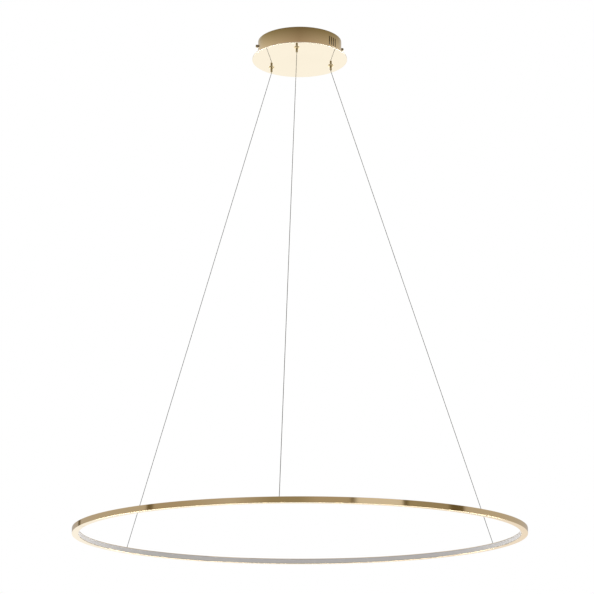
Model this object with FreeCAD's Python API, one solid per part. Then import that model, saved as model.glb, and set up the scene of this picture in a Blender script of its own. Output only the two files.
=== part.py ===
import FreeCAD, Part
import math
import os

# LED ring chandelier: a slim metal channel bent into a ring, lit from its inner face, hung on three thin
# wires from a shallow round ceiling canopy. Millimetres, +Z up. The origin is the centre of the ceiling
# plane that the canopy's bracket is screwed to, and everything hangs below it. Azimuths are in degrees,
# 0 toward the front (-Y) and turning toward +X.

V = FreeCAD.Vector
UP = V(0, 0, 1)

# ---- driving dimensions ----

# ring
ring_outer_r = 450.0
channel_width = 13.0
channel_height = 11.0
channel_wall = 1.0
channel_rebate = 0.5
butt_azimuth = -70.0
butt_gap = 0.3
diffuser_thick = 3.0
strip_width = 6.0
strip_thick = 0.3
strip_end_gap = 6.0
chip_count = 89
chip_size = (0.7, 3.5, 2.8)

# splice bars inside the ring's butt joint
splice_length = 44.0
splice_width = 6.0
splice_thick = 2.5
splice_screw_pitch = 22.0
splice_screw_r = 1.5
splice_screw_length = 3.5

# suspension
wire_azimuths = {"front": -4.8, "right": 115.2, "left": -124.8}
drop = 1008.0
wire_r = 0.6
wire_bend_r = 8.0
nipple_r = 1.7
nipple_neck_r = 0.9
nipple_cone = 0.8
nipple_below = 1.6
anchor_inset = 4.6
saddle_length = 24.0
saddle_width = 6.2
saddle_thick = 2.0
notch_width = 2.4
notch_inner_play = 2.2
notch_outer_play = 1.3

# ceiling canopy
drum_outer_r = 88.0
drum_wall = 1.0
drum_height = 38.0
tab_width = 14.0
tab_reach = 13.0
tab_azimuths = (55.2, 175.2, 295.2)
vent_azimuths = (45.0, 49.2, 53.4, 57.6)
vent_width = 3.0
vent_height = 19.0
vent_top = 10.0
plate_overhang = 12.0
plate_thick = 2.0
plate_edge = 0.3
stud_r = 1.5
stud_length = 6.5
nut_flats = 5.5
nut_thick = 2.4

# wire grippers
gripper_inset = 14.0
flange_r = 5.5
flange_thick = 1.5
barrel_r = 4.0
barrel_height = 12.0
chamber_r = 3.1
chamber_floor = 2.0
plug_thick = 2.5
gripper_nut_flats = 12.0
gripper_nut_thick = 3.0
plunger_r = 2.25
plunger_below = 9.0
plunger_collar_r = 2.8
plunger_collar_thick = 1.5
plunger_edge = 0.3
wire_bore_r = 0.95
stop_r = 2.0
stop_height = 4.0
tail_above = 2.0

# ceiling bracket
strap_azimuth = 96.0
strap_width = 25.0
strap_thick = 1.5
strap_bend_r = 2.0
ear_depth = 19.0
mount_pcd = 60.0
mount_hole_r = 2.6
supply_hole_r = 5.25
adjust_slot_r = 2.1
adjust_slot_length = 12.0
adjust_slot_inset = 39.3

# side thumb screws
thumb_z = 12.0
thumb_shank_r = 1.5
thumb_tip_reach = 2.5
thumb_knob_r = 3.0
thumb_knob_length = 4.0
thumb_knob_flutes = 12
thumb_knob_groove = 0.25
thumb_washer_r = 3.2
thumb_washer_thick = 0.8

# mains terminal and earth
block_inset = 16.3
block_size = (16.0, 24.0, 11.0)
block_poles = 3
block_pitch = 7.4
entry_width = 3.0
entry_height = 5.0
well_r = 1.9
terminal_screw_r = 1.6
terminal_screw_length = 3.5
terminal_slot = 0.6
head_sink = 0.5
peg_r = 1.5
earth_inset = 26.3
earth_shank_r = 2.0
earth_head_r = 3.8
earth_head = 2.6
earth_slot = 0.9

# LED driver
driver_length = 96.0
driver_width = 42.0
driver_tray = 15.0
driver_lid = 6.0
driver_wall = 1.6
driver_edge = 2.5
foot_length = 11.0
foot_width = 16.0
foot_thick = 2.5
lid_rim = 4.0
lid_panel = 0.6
outlet_r = 2.2
outlet_length = 3.0
outlet_drop = 6.0

# clearances
seat_gap = 0.3
running_gap = 0.05
hole_gap = 0.3
face_gap = 0.02

# ---- levels and radii that follow ----

ring_inner_r = ring_outer_r - channel_width
plate_top = -drum_height
plate_bottom = plate_top - plate_thick
ring_bottom = plate_bottom - drop
ring_top = ring_bottom + channel_height
drum_inner_r = drum_outer_r - drum_wall
plate_r = drum_outer_r + plate_overhang
gripper_r = drum_inner_r - gripper_inset
strip_back_r = ring_outer_r - channel_wall
rebate_r = ring_inner_r + diffuser_thick
floor_wall = channel_wall + channel_rebate
splice_r = rebate_r + seat_gap + splice_width / 2
flange_bottom = plate_bottom - flange_thick
mouth_z = flange_bottom - plunger_below
barrel_top = plate_top + barrel_height
chamber_bottom = flange_bottom + chamber_floor
plug_bottom = barrel_top - plug_thick
saddle_top = ring_top - floor_wall
saddle_bottom = saddle_top - saddle_thick
nipple_z = saddle_bottom - nipple_cone - running_gap
nipple_centre_r = ring_outer_r - anchor_inset
ear_outer_r = math.sqrt(drum_inner_r**2 - (strap_width / 2)**2) - seat_gap
ear_inner_r = ear_outer_r - strap_thick
ear_nut_inner_r = ear_inner_r - nut_thick
block_offset = ear_inner_r - block_inset
earth_offset = ear_inner_r - earth_inset
adjust_slot_offset = ear_inner_r - adjust_slot_inset
block_bottom = -strap_thick - block_size[2]
driver_bottom = plate_top
driver_split = driver_bottom + driver_tray
driver_top = driver_split + driver_lid
outlet_z = driver_split - outlet_drop
stud_circle_r = drum_inner_r - tab_reach / 2
foot_stud = driver_length / 2 + foot_length / 2


# ---- shared operations ----

def turned(profile, sweep=360.0, azimuth=90.0):
    """Revolve a closed (radius, height) outline about Z, centred on an azimuth."""
    points = [V(r, 0, z) for r, z in profile]
    face = Part.Face(Part.makePolygon(points + points[:1]))
    solid = face.revolve(V(), UP, sweep)
    solid.rotate(V(), UP, azimuth - 90 - sweep / 2)
    return solid


def ring_of(outer_r, inner_r, low, high):
    """A plain washer or sleeve standing on Z."""
    return turned([(inner_r, low), (outer_r, low), (outer_r, high), (inner_r, high)])


def rod(radius, low, high):
    """A plain round bar on Z."""
    return Part.makeCylinder(radius, high - low, V(0, 0, low))


def hexagon(across_flats, low, high):
    """A hexagonal bar on Z."""
    corner = across_flats / math.sqrt(3)
    points = [V(corner, 0, low)]
    for turn in range(60, 360, 60):
        angle = math.radians(turn)
        points.append(V(corner * math.cos(angle), corner * math.sin(angle), low))
    return Part.Face(Part.makePolygon(points + points[:1])).extrude(V(0, 0, high - low))


def tapped(nut, thread_r):
    """A nut's blank with its threaded hole."""
    box = nut.BoundBox
    return nut.cut(rod(thread_r + running_gap, box.ZMin - 1, box.ZMax + 1))


def block(size, centre, low):
    """A square-cornered bar centred on a point in plan, standing on a level."""
    length, width, height = size
    corner = V(centre[0] - length / 2, centre[1] - width / 2, low)
    return Part.makeBox(length, width, height, corner)


def slot_bar(length, radius, low, high):
    """A round-ended bar along X, for cutting slots."""
    half = length / 2 - radius
    bar = block((2 * half, 2 * radius, high - low), (0, 0), low)
    for side in (-1, 1):
        end = rod(radius, low, high)
        end.translate(V(side * half, 0, 0))
        bar = bar.fuse(end)
    return bar.removeSplitter()


def set_out(shape, radius, azimuth):
    """Carry a piece made at the origin, +X outward, to a radius and an azimuth."""
    moved = shape.copy()
    moved.translate(V(radius, 0, 0))
    moved.rotate(V(), UP, azimuth - 90)
    return moved


def laid_outward(shape, z):
    """Lay a piece made on Z along +X at a level, its top outward."""
    moved = shape.copy()
    moved.rotate(V(), V(0, 1, 0), 90)
    moved.translate(V(0, 0, z))
    return moved


def upright_edges(shape):
    """The straight edges parallel to Z."""
    return [e for e in shape.Edges if e.BoundBox.DiagonalLength - e.BoundBox.ZLength < 1e-6]


def joined(shapes):
    """Several solids fused into one piece."""
    return shapes[0].fuse(shapes[1:]).removeSplitter()


def bent_tube(points, radius, bend_r):
    """A round wire along straight runs joined by tangent arcs."""
    edges = []
    start = points[0]
    for before, corner, after in zip(points, points[1:], points[2:]):
        into = (corner - before).normalize()
        out = (after - corner).normalize()
        half_turn = into.getAngle(out) / 2
        cut = bend_r * math.tan(half_turn)
        arc_start = corner - into * cut
        arc_end = corner + out * cut
        inward = (out - into).normalize()
        middle = corner + inward * (bend_r / math.cos(half_turn) - bend_r)
        edges.append(Part.LineSegment(start, arc_start).toShape())
        edges.append(Part.Arc(arc_start, middle, arc_end).toShape())
        start = arc_end
        print(f"wire bend radius {bend_r:.1f} mm, turn {math.degrees(2 * half_turn):.1f} deg")
    edges.append(Part.LineSegment(start, points[-1]).toShape())
    path = Part.Wire(edges)
    first = (points[1] - points[0]).normalize()
    section = Part.Wire(Part.makeCircle(radius, points[0], first))
    tube = path.makePipeShell([section], True, False)
    print(f"wire {path.Length:.2f} mm, volume {tube.Volume:.2f}, section x length "
          f"{math.pi * radius**2 * path.Length:.2f} mm3")
    return tube


# ---- ring ----

def ring_channel():
    """Rolled channel, open to the ring's centre, its walls rebated at the mouth for the diffuser."""
    top, bottom = ring_top, ring_bottom
    mouth_low, mouth_high = bottom + channel_wall, top - channel_wall
    low, high = bottom + floor_wall, top - floor_wall
    outline = [
        (ring_inner_r, bottom), (ring_outer_r, bottom), (ring_outer_r, top), (ring_inner_r, top),
        (ring_inner_r, mouth_high), (rebate_r, mouth_high), (rebate_r, high), (strip_back_r, high),
        (strip_back_r, low), (rebate_r, low), (rebate_r, mouth_low), (ring_inner_r, mouth_low),
    ]
    gap = math.degrees(butt_gap / ring_outer_r)
    channel = turned(outline, 360 - gap, butt_azimuth + 180)
    inner, outer = wire_window()
    length = outer - inner
    window = slot_bar(length, notch_width / 2, saddle_top - 1, ring_top + 1)
    for azimuth in wire_azimuths.values():
        channel = channel.cut(set_out(window, (inner + outer) / 2, azimuth))
    return channel


def wire_window():
    """Inner and outer radius of the opening that a wire needs in the channel's top wall."""
    rest = nipple_centre_r - (ring_top - nipple_z) * wire_lean()
    return rest - notch_inner_play - wire_r, rest + notch_outer_play


def wire_lean():
    """How far a hanging wire goes outward for each millimetre down."""
    return (nipple_centre_r - gripper_r) / (mouth_z - wire_r - nipple_z)


def ring_diffuser():
    """Opal strip pressed into the channel's rebates, flush with its open side."""
    low, high = ring_bottom + channel_wall, ring_top - channel_wall
    outer = rebate_r - face_gap
    gap = math.degrees(butt_gap / ring_outer_r)
    outline = [(ring_inner_r, low), (outer, low), (outer, high), (ring_inner_r, high)]
    return turned(outline, 360 - gap, butt_azimuth + 180)


def led_strip():
    """Flexible circuit stuck round the inside of the channel's outer wall, its ends short of the joint."""
    middle = (ring_top + ring_bottom) / 2
    low, high = middle - strip_width / 2, middle + strip_width / 2
    back = strip_back_r - face_gap
    outline = [(back - strip_thick, low), (back, low), (back, high), (back - strip_thick, high)]
    gap = math.degrees(strip_end_gap / ring_outer_r)
    return turned(outline, 360 - gap, butt_azimuth + 180)


def led_chips():
    """The strip's evenly spaced light-emitting packages."""
    deep, wide, high = chip_size
    back = math.sqrt((strip_back_r - strip_thick - 2 * face_gap)**2 - (wide / 2)**2)
    middle = (ring_top + ring_bottom) / 2
    chip = block((deep, wide, high), (back - deep / 2, 0), middle - high / 2)
    pitch = 360 / (chip_count + 1)
    return Part.makeCompound([set_out(chip, 0, butt_azimuth + pitch * (i + 1)) for i in range(chip_count)])


def wire_saddle(azimuth):
    """Forked steel bar under the channel's top wall: the wire drops in sideways, its nipple seats below."""
    outer = ring_outer_r - channel_wall - strip_thick - chip_size[0] - seat_gap
    outer = math.sqrt(outer**2 - (saddle_length / 2)**2)
    inner = outer - saddle_width
    bar = block((saddle_width, saddle_length, saddle_thick), ((inner + outer) / 2, 0), saddle_bottom)
    fork_end = nipple_centre_r + notch_width / 4
    fork_length = fork_end - inner + 1
    fork_size = (fork_length, notch_width, saddle_thick + 2)
    fork = block(fork_size, (fork_end - fork_length / 2, 0), saddle_bottom - 1)
    root = rod(notch_width / 2, saddle_bottom - 1, saddle_top + 1)
    root.translate(V(fork_end, 0, 0))
    saddle = bar.cut([fork, root])
    return set_out(saddle, 0, azimuth)


def splice_bar(upper):
    """Flat bar bridging the channel's butt joint inside one wall, with the two set screws that jack it."""
    low = saddle_top - splice_thick if upper else ring_bottom + floor_wall
    screw_low = saddle_top - splice_screw_length if upper else low
    pieces = [block((splice_width, splice_length, splice_thick), (0, 0), low)]
    for side in (-1, 1):
        screw = rod(splice_screw_r, screw_low, screw_low + splice_screw_length)
        screw.translate(V(0, side * splice_screw_pitch / 2, 0))
        pieces.append(screw)
    return set_out(joined(pieces), splice_r, butt_azimuth)


# ---- suspension ----

def hanging_wire(azimuth):
    """One taut wire from the gripper's mouth to the nipple inside the ring."""
    lean = math.atan(wire_lean())
    end_back = nipple_cone + face_gap
    end_r = nipple_centre_r - end_back * math.sin(lean)
    end_z = nipple_z + end_back * math.cos(lean)
    corner_z = mouth_z - wire_r - wire_bend_r * math.tan(lean / 2)
    path = [V(gripper_r, 0, mouth_z), V(gripper_r, 0, corner_z), V(end_r, 0, end_z)]
    return set_out(bent_tube(path, wire_r, wire_bend_r), 0, azimuth)


def wire_nipple(azimuth):
    """Soldered nipple on the wire's lower end, its shoulder coned to seat in the saddle's fork."""
    outline = [(0, -nipple_below), (nipple_r, -nipple_below), (nipple_r, 0),
               (nipple_neck_r, nipple_cone), (0, nipple_cone)]
    nipple = turned(outline)
    nipple.rotate(V(), V(0, 1, 0), -math.degrees(math.atan(wire_lean())))
    nipple.translate(V(nipple_centre_r, 0, nipple_z))
    return set_out(nipple, 0, azimuth)


def wire_tail(azimuth):
    """The wire's upper stretch, through the gripper, with the sleeve crimped on it as a stop."""
    stop_low = barrel_top + seat_gap
    stop_high = stop_low + stop_height
    tail = joined([rod(wire_r, mouth_z, stop_high + tail_above), rod(stop_r, stop_low, stop_high)])
    return set_out(tail, gripper_r, azimuth)


# ---- grippers ----

def gripper_body(azimuth):
    """Threaded barrel through the plate, with a thin flange below and a chamber for the clamping plunger."""
    mouth_r = plunger_r + running_gap
    outline = [
        (mouth_r, flange_bottom), (flange_r, flange_bottom), (flange_r, plate_bottom),
        (barrel_r, plate_bottom), (barrel_r, barrel_top), (chamber_r, barrel_top),
        (chamber_r, chamber_bottom), (mouth_r, chamber_bottom),
    ]
    return set_out(turned(outline), gripper_r, azimuth)


def gripper_plug(azimuth):
    """Screwed plug that closes the barrel above the clamping chamber."""
    plug = ring_of(chamber_r - running_gap, wire_bore_r, plug_bottom, barrel_top)
    return set_out(plug, gripper_r, azimuth)


def gripper_plunger(azimuth):
    """Release nipple: pressed upward it frees the wire."""
    collar_low = chamber_bottom + seat_gap
    collar_high = collar_low + plunger_collar_thick
    outline = [
        (wire_bore_r, mouth_z), (plunger_r - plunger_edge, mouth_z), (plunger_r, mouth_z + plunger_edge),
        (plunger_r, collar_low), (plunger_collar_r, collar_low), (plunger_collar_r, collar_high),
        (wire_bore_r, collar_high),
    ]
    return set_out(turned(outline), gripper_r, azimuth)


def gripper_nuts():
    """Thin nuts that clamp the grippers to the plate."""
    nut = tapped(hexagon(gripper_nut_flats, plate_top, plate_top + gripper_nut_thick), barrel_r)
    return Part.makeCompound([set_out(nut, gripper_r, a) for a in wire_azimuths.values()])


# ---- canopy ----

def canopy_drum():
    """Spun drum, open to the ceiling, with three tabs at its lower edge and a group of vents."""
    pieces = [ring_of(drum_outer_r, drum_inner_r, plate_top, 0)]
    for azimuth in tab_azimuths:
        tab = block((tab_reach + drum_wall / 2, tab_width, drum_wall), (0, 0), plate_top)
        pieces.append(set_out(tab, drum_inner_r - tab_reach / 2 + drum_wall / 4, azimuth))
    drum = joined(pieces)
    cutters = []
    for azimuth in tab_azimuths:
        cutters.append(set_out(rod(stud_r + hole_gap, plate_top - 1, plate_top + 3), stud_circle_r, azimuth))
    thumb_hole = laid_outward(rod(thumb_shank_r + hole_gap, -drum_wall - 3, 3), -thumb_z)
    vent = slot_bar(vent_height, vent_width / 2, -drum_wall - 3, 3)
    vent = laid_outward(vent, -vent_top - vent_height / 2)
    cutters += [set_out(thumb_hole, drum_outer_r, strap_azimuth + turn) for turn in (0, 180)]
    cutters += [set_out(vent, drum_outer_r, azimuth) for azimuth in vent_azimuths]
    return drum.cut(cutters)


def canopy_plate():
    """Polished bottom plate, wider than the drum, with weld studs on top and holes for the grippers."""
    low, high, edge = plate_bottom, plate_top, plate_edge
    disc = turned([(0, low), (plate_r - edge, low), (plate_r, low + edge), (plate_r, high), (0, high)])
    studs = [set_out(rod(stud_r, high, high + stud_length), stud_circle_r, a) for a in tab_azimuths]
    for side in (-1, 1):
        studs.append(set_out(rod(stud_r, high, high + stud_length), side * foot_stud, strap_azimuth + 90))
    plate = joined([disc] + studs)
    for azimuth in wire_azimuths.values():
        plate = plate.cut(set_out(rod(barrel_r + running_gap, low - 1, high + 1), gripper_r, azimuth))
    return plate


def stud_seats():
    """Where the five weld studs stand, with the level of what each one clamps."""
    seats = [(stud_circle_r, a, plate_top + drum_wall) for a in tab_azimuths]
    seats += [(side * foot_stud, strap_azimuth + 90, plate_top + foot_thick) for side in (-1, 1)]
    return seats


def stud_nuts():
    """Nuts that hold the drum's tabs and the driver's feet on the plate."""
    nuts = []
    for radius, azimuth, level in stud_seats():
        nut = tapped(hexagon(nut_flats, level, level + nut_thick), stud_r)
        nuts.append(set_out(nut, radius, azimuth))
    return Part.makeCompound(nuts)


def crossing_edges(shape, level):
    """The edges that run across a strap at one level."""
    return [e for e in shape.Edges if abs(e.CenterOfMass.y) < 1e-6 and abs(e.CenterOfMass.z - level) < 1e-6]


def bracket_strap():
    """Steel strap on the ceiling, with nuts pressed into its bent-down ends for the side screws."""
    outer, inner, deep = ear_outer_r, ear_inner_r, ear_depth
    outline = [(-outer, 0), (outer, 0), (outer, -deep), (inner, -deep), (inner, -strap_thick),
               (-inner, -strap_thick), (-inner, -deep), (-outer, -deep)]
    points = [V(x, -strap_width / 2, z) for x, z in outline]
    strap = Part.Face(Part.makePolygon(points + points[:1])).extrude(V(0, strap_width, 0))
    strap = strap.makeFillet(strap_bend_r, crossing_edges(strap, 0))
    strap = strap.makeFillet(strap_bend_r - strap_thick, crossing_edges(strap, -strap_thick))
    nut = laid_outward(hexagon(nut_flats, ear_nut_inner_r, ear_outer_r), -thumb_z)
    strap = joined([strap, nut, set_out(nut, 0, -90)])
    cutters = [rod(supply_hole_r, -5, 5)]
    for side in (-1, 1):
        hole = rod(mount_hole_r, -5, 5)
        hole.translate(V(side * mount_pcd / 2, 0, 0))
        slot = slot_bar(adjust_slot_length, adjust_slot_r, -5, 5)
        slot.translate(V(side * adjust_slot_offset, 0, 0))
        shank = laid_outward(rod(thumb_shank_r + running_gap, ear_nut_inner_r - 1, ear_outer_r + 1), -thumb_z)
        if side < 0:
            shank.rotate(V(), UP, 180)
        cutters += [hole, slot, shank]
    earth = rod(earth_shank_r + running_gap, -5, 5)
    earth.translate(V(-earth_offset, 0, 0))
    peg = rod(peg_r + running_gap, -5, 5)
    peg.translate(V(block_offset, 0, 0))
    strap = strap.cut(cutters + [earth, peg])
    return set_out(strap, 0, strap_azimuth)


def thumb_washer(azimuth):
    """Captive washer under the side screw's knob."""
    low = drum_outer_r + seat_gap
    washer = ring_of(thumb_washer_r, thumb_shank_r + running_gap, low, low + thumb_washer_thick)
    return set_out(laid_outward(washer, -thumb_z), 0, azimuth)


def thumb_screw(azimuth):
    """Side screw with a small fluted knob."""
    low = drum_outer_r + seat_gap + thumb_washer_thick + running_gap
    points = []
    for i in range(2 * thumb_knob_flutes):
        reach = thumb_knob_r if i % 2 == 0 else thumb_knob_r - thumb_knob_groove
        angle = math.pi * i / thumb_knob_flutes
        points.append(V(reach * math.cos(angle), reach * math.sin(angle), low))
    knob = Part.Face(Part.makePolygon(points + points[:1])).extrude(V(0, 0, thumb_knob_length))
    shank = rod(thumb_shank_r, ear_nut_inner_r - thumb_tip_reach, low)
    return set_out(laid_outward(joined([knob, shank]), -thumb_z), 0, azimuth)


# ---- mains terminal, earth screw and driver ----

def terminal_block():
    """Moulded connector pegged to the strap: each pole has a through entry and a screw well below."""
    length = block_size[0]
    body = joined([block(block_size, (0, 0), block_bottom), rod(peg_r, block_bottom, 0)])
    cutters = []
    for pole in pole_places():
        cutters.append(block((2 * length, entry_width, entry_width), (0, pole), block_bottom + entry_height))
        well = rod(well_r, block_bottom - 1, block_bottom + head_sink + terminal_screw_length)
        well.translate(V(length / 4, pole, 0))
        cutters.append(well)
    return set_out(body.cut(cutters), block_offset, strap_azimuth)


def pole_places():
    """Offsets of the terminal block's poles across the strap."""
    return [(i - (block_poles - 1) / 2) * block_pitch for i in range(block_poles)]


def terminal_screws():
    """Slotted clamping screws in the terminal block's wells."""
    low = block_bottom + head_sink
    screws = []
    for pole in pole_places():
        screw = rod(terminal_screw_r, low, low + terminal_screw_length)
        screw = screw.cut(block((terminal_slot, 4 * terminal_screw_r, terminal_slot), (0, 0), low))
        screw.translate(V(block_size[0] / 4, pole, 0))
        screws.append(set_out(screw, block_offset, strap_azimuth))
    return Part.makeCompound(screws)


def earth_screw():
    """Slotted earth screw, driven up into the strap."""
    low = -strap_thick - earth_head
    screw = joined([rod(earth_head_r, low, -strap_thick), rod(earth_shank_r, -strap_thick, 0)])
    screw = screw.cut(block((earth_slot, 3 * earth_head_r, earth_head / 2), (0, 0), low))
    return set_out(screw, -earth_offset, strap_azimuth)


def driver_tray_shape():
    """Potted tray of the LED driver, with a screwed foot and a lead outlet at each end."""
    body = block((driver_length, driver_width, driver_tray), (0, 0), driver_bottom)
    pieces = [body.makeFillet(driver_edge, upright_edges(body))]
    holes = []
    for side in (-1, 1):
        reach = foot_length + driver_wall
        middle = side * (driver_length / 2 + foot_length - reach / 2)
        foot = block((reach, foot_width, foot_thick), (middle, 0), driver_bottom)
        outlet = laid_outward(rod(outlet_r, 0, driver_length / 2 + outlet_length), outlet_z)
        hole = rod(stud_r + hole_gap, driver_bottom - 1, driver_bottom + foot_thick + 1)
        hole.translate(V(side * foot_stud, 0, 0))
        if side < 0:
            outlet.rotate(V(), UP, 180)
        pieces += [foot, outlet]
        holes.append(hole)
    return set_out(joined(pieces).cut(holes), 0, strap_azimuth + 90)


def driver_lid_shape():
    """Snapped-on lid of the driver, with a shallow sunk panel."""
    lid = block((driver_length, driver_width, driver_lid), (0, 0), driver_split)
    lid = lid.makeFillet(driver_edge, upright_edges(lid))
    panel_size = (driver_length - 2 * lid_rim, driver_width - 2 * lid_rim, lid_panel)
    panel = block(panel_size, (0, 0), driver_top - lid_panel)
    return set_out(lid.cut(panel), 0, strap_azimuth + 90)


# ---- the assembly ----

def build():
    """Every piece by its node name."""
    pieces = {
        "ring_channel": ring_channel(),
        "ring_diffuser": ring_diffuser(),
        "led_strip": led_strip(),
        "led_chips": led_chips(),
        "splice_bar_upper": splice_bar(True),
        "splice_bar_lower": splice_bar(False),
        "gripper_nuts": gripper_nuts(),
        "canopy_drum": canopy_drum(),
        "canopy_plate": canopy_plate(),
        "stud_nuts": stud_nuts(),
        "bracket_strap": bracket_strap(),
        "terminal_block": terminal_block(),
        "terminal_screws": terminal_screws(),
        "earth_screw": earth_screw(),
        "driver_tray": driver_tray_shape(),
        "driver_lid": driver_lid_shape(),
    }
    for name, azimuth in wire_azimuths.items():
        pieces[f"wire_saddle_{name}"] = wire_saddle(azimuth)
        pieces[f"wire_{name}"] = hanging_wire(azimuth)
        pieces[f"wire_nipple_{name}"] = wire_nipple(azimuth)
        pieces[f"wire_tail_{name}"] = wire_tail(azimuth)
        pieces[f"gripper_body_{name}"] = gripper_body(azimuth)
        pieces[f"gripper_plug_{name}"] = gripper_plug(azimuth)
        pieces[f"gripper_plunger_{name}"] = gripper_plunger(azimuth)
    for name, turn in (("right", 0), ("left", 180)):
        pieces[f"thumb_washer_{name}"] = thumb_washer(strap_azimuth + turn)
        pieces[f"thumb_screw_{name}"] = thumb_screw(strap_azimuth + turn)
    return pieces


os.makedirs("parts", exist_ok=True)
for node, shape in build().items():
    if not shape.isValid():
        raise ValueError(f"{node} isn't a valid solid")
    shape.exportStep(f"parts/{node}.step")
    print(f"{node}: {len(shape.Solids)} solids, {shape.Volume:.1f} mm3")
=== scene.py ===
import math

import bmesh
import bpy
import numpy as np
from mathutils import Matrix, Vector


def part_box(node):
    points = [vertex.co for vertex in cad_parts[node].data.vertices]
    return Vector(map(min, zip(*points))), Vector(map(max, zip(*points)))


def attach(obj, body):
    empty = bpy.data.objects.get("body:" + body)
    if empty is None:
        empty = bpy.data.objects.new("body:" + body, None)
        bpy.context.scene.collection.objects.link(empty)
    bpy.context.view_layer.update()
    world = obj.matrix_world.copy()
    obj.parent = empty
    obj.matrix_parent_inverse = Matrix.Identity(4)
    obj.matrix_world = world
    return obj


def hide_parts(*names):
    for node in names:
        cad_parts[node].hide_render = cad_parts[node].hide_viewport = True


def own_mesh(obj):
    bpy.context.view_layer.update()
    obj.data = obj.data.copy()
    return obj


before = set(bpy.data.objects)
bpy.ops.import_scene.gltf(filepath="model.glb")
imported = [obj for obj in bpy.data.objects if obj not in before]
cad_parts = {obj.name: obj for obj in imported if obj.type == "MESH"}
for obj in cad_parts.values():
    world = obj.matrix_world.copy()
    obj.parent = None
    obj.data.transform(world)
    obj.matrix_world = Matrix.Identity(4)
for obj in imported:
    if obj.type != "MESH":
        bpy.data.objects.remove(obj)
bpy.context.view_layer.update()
scene = bpy.context.scene
scene.view_settings.view_transform = "Standard"


# ---- camera ----
# The photographer stands under the light, in front of it, and looks up at the ring and the canopy
# through a long lens.

CAMERA_PLACE = (-0.00569, -3.95995, -1.58433)
CAMERA_RISE = 0.2540
CAMERA_LENS, CAMERA_SENSOR = 121.19, 36
camera = bpy.data.objects.new("camera", bpy.data.cameras.new("camera"))
camera.location = CAMERA_PLACE
camera.rotation_euler = (math.pi / 2 + CAMERA_RISE, 0, 0)
camera.data.lens = CAMERA_LENS
camera.data.sensor_width = CAMERA_SENSOR
scene.collection.objects.link(camera)
scene.camera = camera


# ---- room ----
# A white room seen straight on. What the polished metal mirrors is the studio round it: pale walls, warmer
# and dimmer behind the photographer, with five dark flats and a bright panel, a pale floor, and two lamps
# low down behind the light.

WHITE = (1.0, 1.0, 1.0)
UPPER_BACK, UPPER_SIDE, UPPER_FRONT = (0.75, 0.70, 0.66), (0.55, 0.49, 0.44), (0.40, 0.33, 0.28)
PALE_WALL, WARM_WALL, DIM_WALL = (0.48, 0.44, 0.41), (0.40, 0.35, 0.29), (0.31, 0.27, 0.20)
DARK_FLAT, PANEL, LAMP = (0.13, 0.10, 0.05), (0.65, 0.62, 0.62), (11, 11, 11)
PALE_FLOOR, CREAM_FLOOR, BLUE_FLOOR = (0.75, 0.75, 0.75), (0.86, 0.78, 0.70), (0.50, 0.56, 0.64)
DIM_FLOOR = (0.45, 0.45, 0.47)

UPPER_WALLS = (
    (-180, UPPER_BACK), (-135, UPPER_BACK), (-75, UPPER_SIDE), (0, UPPER_FRONT), (90, UPPER_SIDE),
    (180, UPPER_BACK),
)
WALLS = (
    (-180, PALE_WALL), (-147, PALE_WALL), (-146, DARK_FLAT), (-143, DARK_FLAT), (-142, PALE_WALL),
    (-81.5, PALE_WALL), (-80.5, DARK_FLAT), (-77.5, DARK_FLAT), (-76.5, WARM_WALL), (-60, WARM_WALL),
    (-34, PALE_WALL), (-14, DIM_WALL), (0, DIM_WALL), (8, WARM_WALL), (24.5, WARM_WALL), (25, DARK_FLAT),
    (26.5, DARK_FLAT), (27, PANEL), (51.5, PANEL), (52, DARK_FLAT), (53.5, DARK_FLAT), (54, DIM_WALL),
    (78, DIM_WALL), (79, DARK_FLAT), (87.5, DARK_FLAT), (89, PALE_WALL), (180, PALE_WALL),
)
FLOOR_AFAR = (
    (-180, WHITE), (-140, WHITE), (-90, PALE_FLOOR), (0, BLUE_FLOOR), (90, PALE_FLOOR), (150, CREAM_FLOOR),
    (173, CREAM_FLOOR), (180, WHITE),
)
FLOOR_NEAR = (
    (-180, WHITE), (-140, WHITE), (-90, PALE_FLOOR), (0, BLUE_FLOOR), (90, PALE_FLOOR), (170, WHITE),
    (180, WHITE),
)
LOW_LAMPS = (
    (-180, WHITE), (-168, WHITE), (-163, LAMP), (-130, LAMP), (-125, DIM_FLOOR), (125, DIM_FLOOR),
    (130, LAMP), (163, LAMP), (168, WHITE), (180, WHITE),
)
STUDIO = (
    (-0.50, -0.43, FLOOR_NEAR), (-0.32, -0.24, FLOOR_AFAR), (-0.06, 0.06, WALLS), (0.20, 0.28, UPPER_WALLS),
)


def added(tree, kind, sockets=None, **settings):
    """Adds a shader node and gives its outputs. A socket that is named is linked from another node's
    output, or set to a value."""
    node = tree.nodes.new(f"ShaderNode{kind}")
    for setting, value in settings.items():
        setattr(node, setting, value)
    for socket, value in (sockets or {}).items():
        if isinstance(value, bpy.types.NodeSocket):
            tree.links.new(value, node.inputs[socket])
        else:
            node.inputs[socket].default_value = value
    return node.outputs


def reckoned(tree, operation, *values, **settings):
    """The result of an operation on one to three values."""
    return added(tree, "Math", dict(enumerate(values)), operation=operation, **settings)["Value"]


def ranged(tree, value, low, high, to_low=0, to_high=1, **settings):
    """Where a value lies between two levels, as 0 to 1 or as one given value to another."""
    sockets = {"Value": value, "From Min": low, "From Max": high, "To Min": to_low, "To Max": to_high}
    return added(tree, "MapRange", sockets, **settings)["Result"]


def blended(tree, factor, under, over):
    """A colour between two."""
    return added(tree, "Mix", {"Factor": factor, "A": under, "B": over}, data_type="RGBA")["Result"]


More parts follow.
